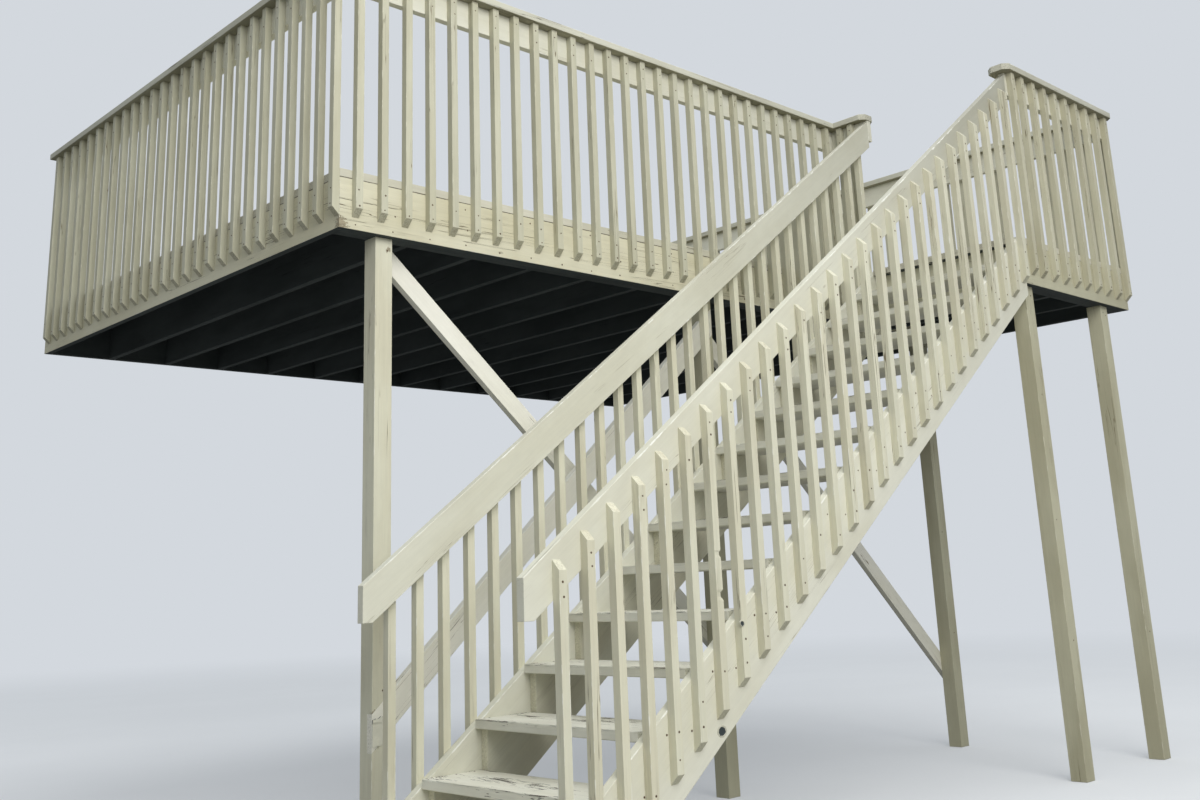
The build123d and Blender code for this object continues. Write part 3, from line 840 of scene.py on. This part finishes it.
def nail_guards():
    heads = Heads("guard_nails", 5)
    heights = [RIM_LOW.z + d for d in GUARD_NAILS_OVER_RIM] + [CAP_LOW.z - d for d in GUARD_NAILS_UNDER_CAP]
    for n in ("front_balusters", "landing_balusters"):
        for low, high in boxes(PIECES[n]):
            for z in heights:
                heads.add(((low.x + high.x) / 2, low.y, z), FRONTWARDS, SHOWN_ON_BALUSTERS)
    for n, out in (("left_balusters", LEFTWARDS), ("return_balusters", LEFTWARDS),
                   ("right_balusters", RIGHTWARDS)):
        for low, high in boxes(PIECES[n]):
            x = low.x if out.x < 0 else high.x
            for z in heights:
                heads.add((x, (low.y + high.y) / 2, z), out, SHOWN_ON_BALUSTERS)
    heads.done("painted_wood")


def nail_flight():
    heads = Heads("flight_nails", 6)
    for n, out in (("outer_flight_balusters", FRONTWARDS), ("inner_flight_balusters", WALLWARDS)):
        for low, high in boxes(PIECES[n]):
            y = low.y if out.y < 0 else high.y
            for z in [low.z + d for d in FLIGHT_NAILS_LOW] + [high.z - d for d in FLIGHT_NAILS_HIGH]:
                heads.add(((low.x + high.x) / 2, y, z), out, SHOWN_ON_BALUSTERS)
    for n in TREADS:
        low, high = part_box(n)
        z = (low.z + high.z) / 2
        for share in TREAD_SIDE_NAILS:
            x = low.x + (high.x - low.x) * share
            heads.add((x, STRINGER_FRONT, z), FRONTWARDS, SHOWN_ON_STRINGERS)
            heads.add((x, STRINGER_BACK, z), WALLWARDS, SHOWN_ON_STRINGERS)
    heads.done("painted_wood")


def nail_front_rim(heads):
    rows = ((0.0, RIM_LOW.z + RIM_NAIL_LOW), (RIM_NAIL_MIDDLE_SHIFT, RIM_LOW.z + RIM_NAIL_MIDDLE),
            (0.0, RIM_HIGH.z - RIM_NAIL_HIGH))
    x = RIM_LOW.x + RIM_NAIL_START
    while x < RIM_HIGH.x - RIM_NAIL_END:
        for dx, z in rows:
            heads.add((x + dx, RIM_LOW.y, z), FRONTWARDS, SHOWN_ON_RIM)
        x += RIM_NAIL_PITCH


def nail_posts(heads):
    for n in ("left_post", "middle_post", "right_post", "landing_left_post", "landing_right_post"):
        low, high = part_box(n)
        for dx, dz in POST_NAILS:
            heads.add((low.x + dx, low.y, high.z - dz), FRONTWARDS, SHOWN_ON_POSTS)


def nail_caps(heads):
    for n in ("left_cap", "right_cap", "front_cap", "landing_cap", "return_cap"):
        low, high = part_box(n)
        top = high.z - CAP_NAIL_SUNK
        runs_right = high.x - low.x > high.y - low.y
        size = high.x - low.x if runs_right else high.y - low.y
        steps = max(1, round(size / CAP_NAIL_PITCH))
        for i in range(steps):
            d = size * (i + 0.5) / steps
            for row in CAP_NAIL_ROWS:
                at = (low.x + d, low.y + row, top) if runs_right else (low.x + row, low.y + d, top)
                heads.add(at, UPWARDS, SHOWN_ON_CAPS)


def nail_rims():
    heads = Heads("rim_nails", 7)
    nail_front_rim(heads)
    nail_posts(heads)
    nail_caps(heads)
    heads.done("painted_wood")


def nail_floors():
    heads = Heads("floor_nails", 8)
    for n, joists in (("deck_boards", "deck_joists"), ("landing_boards", "landing_joists")):
        supports = [(low.x + high.x) / 2 for low, high in boxes(PIECES[joists])]
        for low, high in boxes(PIECES[n]):
            if high.y - low.y < NARROWEST_NAILED_BOARD:
                continue
            for x in supports + [high.x - DECK_END_INSET]:
                for y in (low.y + DECK_NAIL_INSET, high.y - DECK_NAIL_INSET):
                    heads.add((x, y, high.z), UPWARDS, SHOWN_ON_FLOORS)
    for n in TREADS:
        low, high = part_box(n)
        for y in (low.y + TREAD_NAIL_INSET, high.y - TREAD_NAIL_INSET):
            for d in TREAD_TOP_NAILS:
                heads.add((low.x + d, y, high.z), UPWARDS, SHOWN_ON_FLOORS)
    heads.done("worn_tread")


nail_guards()
nail_flight()
nail_rims()
nail_floors()


# Single marks
def knot_mark(name, at, out, size, seed, heart):
    """A weathered knot: an uneven ring of lifted paint round a dark heart."""
    rng = random.Random(seed)
    bm = bmesh.new()
    side = out.orthogonal().normalized()
    other = out.cross(side)
    rings = []
    for r, h in KNOT_RINGS + ((KNOT_HEART_SHARE, heart),):
        ring = []
        for i in range(KNOT_SIDES):
            a = 2 * math.pi * i / KNOT_SIDES
            k = r * (1 + rng.uniform(-KNOT_UNEVEN, KNOT_UNEVEN)) * (1 + KNOT_OVAL * math.sin(2 * a + seed))
            spoke = side * math.cos(a) + other * math.sin(a)
            ring.append(bm.verts.new(Vector(at) + spoke * size * k + out * h))
        rings.append(ring)
    for n, (outer, inner) in enumerate(zip(rings, rings[1:])):
        for i in range(KNOT_SIDES):
            k = (i + 1) % KNOT_SIDES
            f = bm.faces.new((outer[i], outer[k], inner[k], inner[i]))
            f.material_index = 1 if n == len(rings) - 2 else 0
    f = bm.faces.new(rings[-1])
    f.material_index = 1
    place, half, seeds, along = board_layers(bm)
    for v in bm.verts:
        v[place] = v.co - Vector(at)
        v[half] = (size, size, size)
        v[seeds] = (0.3, 0.6, 0.1)
        v[along] = side
    add_piece(bm, name, (PAINT_CAP, TIMBER_AND_SHADE), "painted_wood")


STRINGER_KNOT_AT = (STRINGER_KNOT_X, STRINGER_FRONT, STRINGER_KNOT_Z)
knot_mark("stringer_knot", STRINGER_KNOT_AT, FRONTWARDS, STRINGER_KNOT_SIZE, 3, STRINGER_KNOT_HEART)
knot_mark("baluster_knot", BALUSTER_KNOT_AT, FRONTWARDS, BALUSTER_KNOT_SIZE, 4, BALUSTER_KNOT_HEART)


def torn_paint(name, left, right, foot, head, face, seed):
    """Paint come loose on a post's front: a wrinkled sheet, whose ragged head stands off."""
    rng = random.Random(seed)
    bm = bmesh.new()
    grid = []
    for j in range(TORN_ROWS + 1):
        row = []
        up = j / TORN_ROWS
        for i in range(TORN_COLUMNS + 1):
            across = i / TORN_COLUMNS
            z = foot + (head - foot) * up
            if j == TORN_ROWS:
                z += TORN_HEAD_SLANT * across + rng.uniform(-TORN_HEAD_RAGGED, TORN_HEAD_RAGGED)
            if j == 0:
                z += TORN_FOOT_SLANT * across + rng.uniform(-TORN_FOOT_RAGGED, TORN_FOOT_RAGGED)
            fold = 0.5 + 0.5 * math.sin(9.0 * up + 2.0 * across)
            bulge = math.sin(math.pi * min(1.0, across * 1.2))
            off = TORN_STAND + TORN_FOLD * fold * bulge + rng.uniform(0, TORN_ROUGH)
            if j >= TORN_ROWS - 1:
                off += TORN_CURL * (1.0 - across * 0.6)
            row.append(bm.verts.new((left + (right - left) * across, face - off, z)))
        grid.append(row)
    for j in range(TORN_ROWS):
        for i in range(TORN_COLUMNS):
            bm.faces.new((grid[j][i], grid[j][i + 1], grid[j + 1][i + 1], grid[j + 1][i]))
    rim = grid[0] + [row[-1] for row in grid[1:]] + grid[-1][-2::-1] + [row[0] for row in grid[-2:0:-1]]
    back = [bm.verts.new((v.co.x, face + TORN_SUNK, v.co.z)) for v in rim]
    # The sheet's edge walls take the dark timber coat: painted shade in the gap under the lifted sheet, and
    # the bare wood at the tear
    for i in range(len(rim)):
        k = (i + 1) % len(rim)
        f = bm.faces.new((rim[k], rim[i], back[i], back[k]))
        f.material_index = 1
    place, half, seeds, along = board_layers(bm)
    for v in bm.verts:
        v[place] = (v.co.z - foot, v.co.x - left, 0.01)
        v[half] = (head - foot, right - left, 0.05)
        v[seeds] = (0.7, 0.2, 0.5)
        v[along] = UPWARDS
    bmesh.ops.recalc_face_normals(bm, faces=bm.faces)
    add_piece(bm, name, (PAINT_RAIL, TIMBER_AND_SHADE), "painted_wood")


POST_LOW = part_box("left_post")[0]
torn_paint("post_torn_paint", POST_LOW.x + TORN_LEFT, POST_LOW.x + TORN_RIGHT, TORN_FOOT, TORN_HEAD,
           POST_LOW.y, 9)


# Floor, light and camera
def floor_material():
    """Pale floor that takes the shadow near the object and meets the backdrop far off."""
    t = Tree("pale_floor")
    here = t.here()
    from_camera = t.node("ShaderNodeLightPath").outputs["Is Camera Ray"]
    pale = t.mix(t.ramp(t.noise(here, 0.5, 4.0), 0.3, 0.7), tint((236, 237, 237)), tint((241, 242, 242)))
    t.put(t.bsdf.inputs["Base Color"], t.mix(from_camera, tint((152, 151, 147)), pale))
    t.bsdf.inputs["Roughness"].default_value = 0.95
    t.bsdf.inputs["Specular IOR Level"].default_value = 0.1
    glow = t.node("ShaderNodeEmission")
    glow.inputs["Color"].default_value = BACKDROP
    far = t.ramp(t.vmath("LENGTH", here), FLOOR_NEAR, FLOOR_FAR, FLOOR_NEAR_SHARE, 1.0)
    both = t.node("ShaderNodeMixShader")
    t.link(t.math("MULTIPLY", far, from_camera), both.inputs[0])
    t.link(t.bsdf.outputs[0], both.inputs[1])
    t.link(glow.outputs[0], both.inputs[2])
    t.link(both.outputs[0], t.out.inputs[0])
    return t.mat


def make_floor():
    """A wide square just under the part's lowest point."""
    mesh = bpy.data.meshes.new("floor")
    s = FLOOR_REACH
    z = CAD_BOX[0][2] - FLOOR_GAP
    mesh.from_pydata([(-s, -s, z), (s, -s, z), (s, s, z), (-s, s, z)], [], [(0, 1, 2, 3)])
    mesh.materials.append(floor_material())
    floor = bpy.data.objects.new("floor", mesh)
    SCENE.collection.objects.link(floor)


def area_light(name, at, to, size, power, colour):
    """A round soft lamp at one place that faces another, and that the camera doesn't see."""
    data = bpy.data.lights.new(name, "AREA")
    data.shape = "DISK"
    data.size = size
    data.energy = power
    data.color = colour
    lamp = bpy.data.objects.new(name, data)
    lamp.location = at
    lamp.visible_camera = False
    SCENE.collection.objects.link(lamp)
    lamp.rotation_euler = (Vector(to) - lamp.location).to_track_quat("-Z", "Y").to_euler()


def make_world():
    """A cool fill light, and the pale backdrop wherever the world itself is seen."""
    world = bpy.data.worlds.new("studio")
    SCENE.world = world
    world.use_nodes = True
    nodes = world.node_tree.nodes
    link = world.node_tree.links.new
    nodes.clear()
    fill = nodes.new("ShaderNodeBackground")
    fill.inputs["Color"].default_value = FILL_COLOUR
    fill.inputs["Strength"].default_value = FILL_STRENGTH
    seen = nodes.new("ShaderNodeBackground")
    seen.inputs["Color"].default_value = BACKDROP
    path = nodes.new("ShaderNodeLightPath")
    direct = nodes.new("ShaderNodeMath")
    direct.operation = "MAXIMUM"
    link(path.outputs["Is Camera Ray"], direct.inputs[0])
    link(path.outputs["Is Glossy Ray"], direct.inputs[1])
    shown = nodes.new("ShaderNodeMath")
    shown.operation = "MAXIMUM"
    link(direct.outputs[0], shown.inputs[0])
    link(path.outputs["Is Transmission Ray"], shown.inputs[1])
    mixer = nodes.new("ShaderNodeMixShader")
    link(shown.outputs[0], mixer.inputs[0])
    link(fill.outputs[0], mixer.inputs[1])
    link(seen.outputs[0], mixer.inputs[2])
    link(mixer.outputs[0], nodes.new("ShaderNodeOutputWorld").inputs[0])


def make_camera():
    """The camera, from its place, its three turns and the focal length and centre in pixels."""
    ahead = Vector((math.cos(YAW) * math.cos(PITCH), math.sin(YAW) * math.cos(PITCH), math.sin(PITCH)))
    level = Vector((math.sin(YAW), -math.cos(YAW), 0.0))
    below = ahead.cross(level)
    c = math.cos(ROLL)
    s = math.sin(ROLL)
    right = level * c + below * s
    down = below * c - level * s
    data = bpy.data.cameras.new("viewpoint")
    data.sensor_width = SENSOR
    data.lens = FOCAL_PX * SENSOR / IMAGE_W
    data.shift_x = (IMAGE_W / 2 - CENTRE_X) / IMAGE_W
    data.shift_y = (CENTRE_Y - IMAGE_H / 2) / IMAGE_W
    data.clip_end = 200.0
    cam = bpy.data.objects.new("viewpoint", data)
    m = Matrix.Identity(4)
    for i in range(3):
        m[i][0] = right[i]
        m[i][1] = -down[i]
        m[i][2] = -ahead[i]
        m[i][3] = EYE[i]
    cam.matrix_world = m
    SCENE.collection.objects.link(cam)
    SCENE.camera = cam


make_floor()
area_light("sky_front", at=(-3.8, -11.0, 3.6), to=(-0.9, -4.0, -1.0), size=7.0, power=640.0,
           colour=(1.0, 0.99, 0.965))
area_light("sky_top", at=(0.5, -5.0, 14.0), to=(0.0, -3.5, 0.0), size=14.0, power=1150.0,
           colour=(0.98, 0.99, 1.0))
make_world()
make_camera()
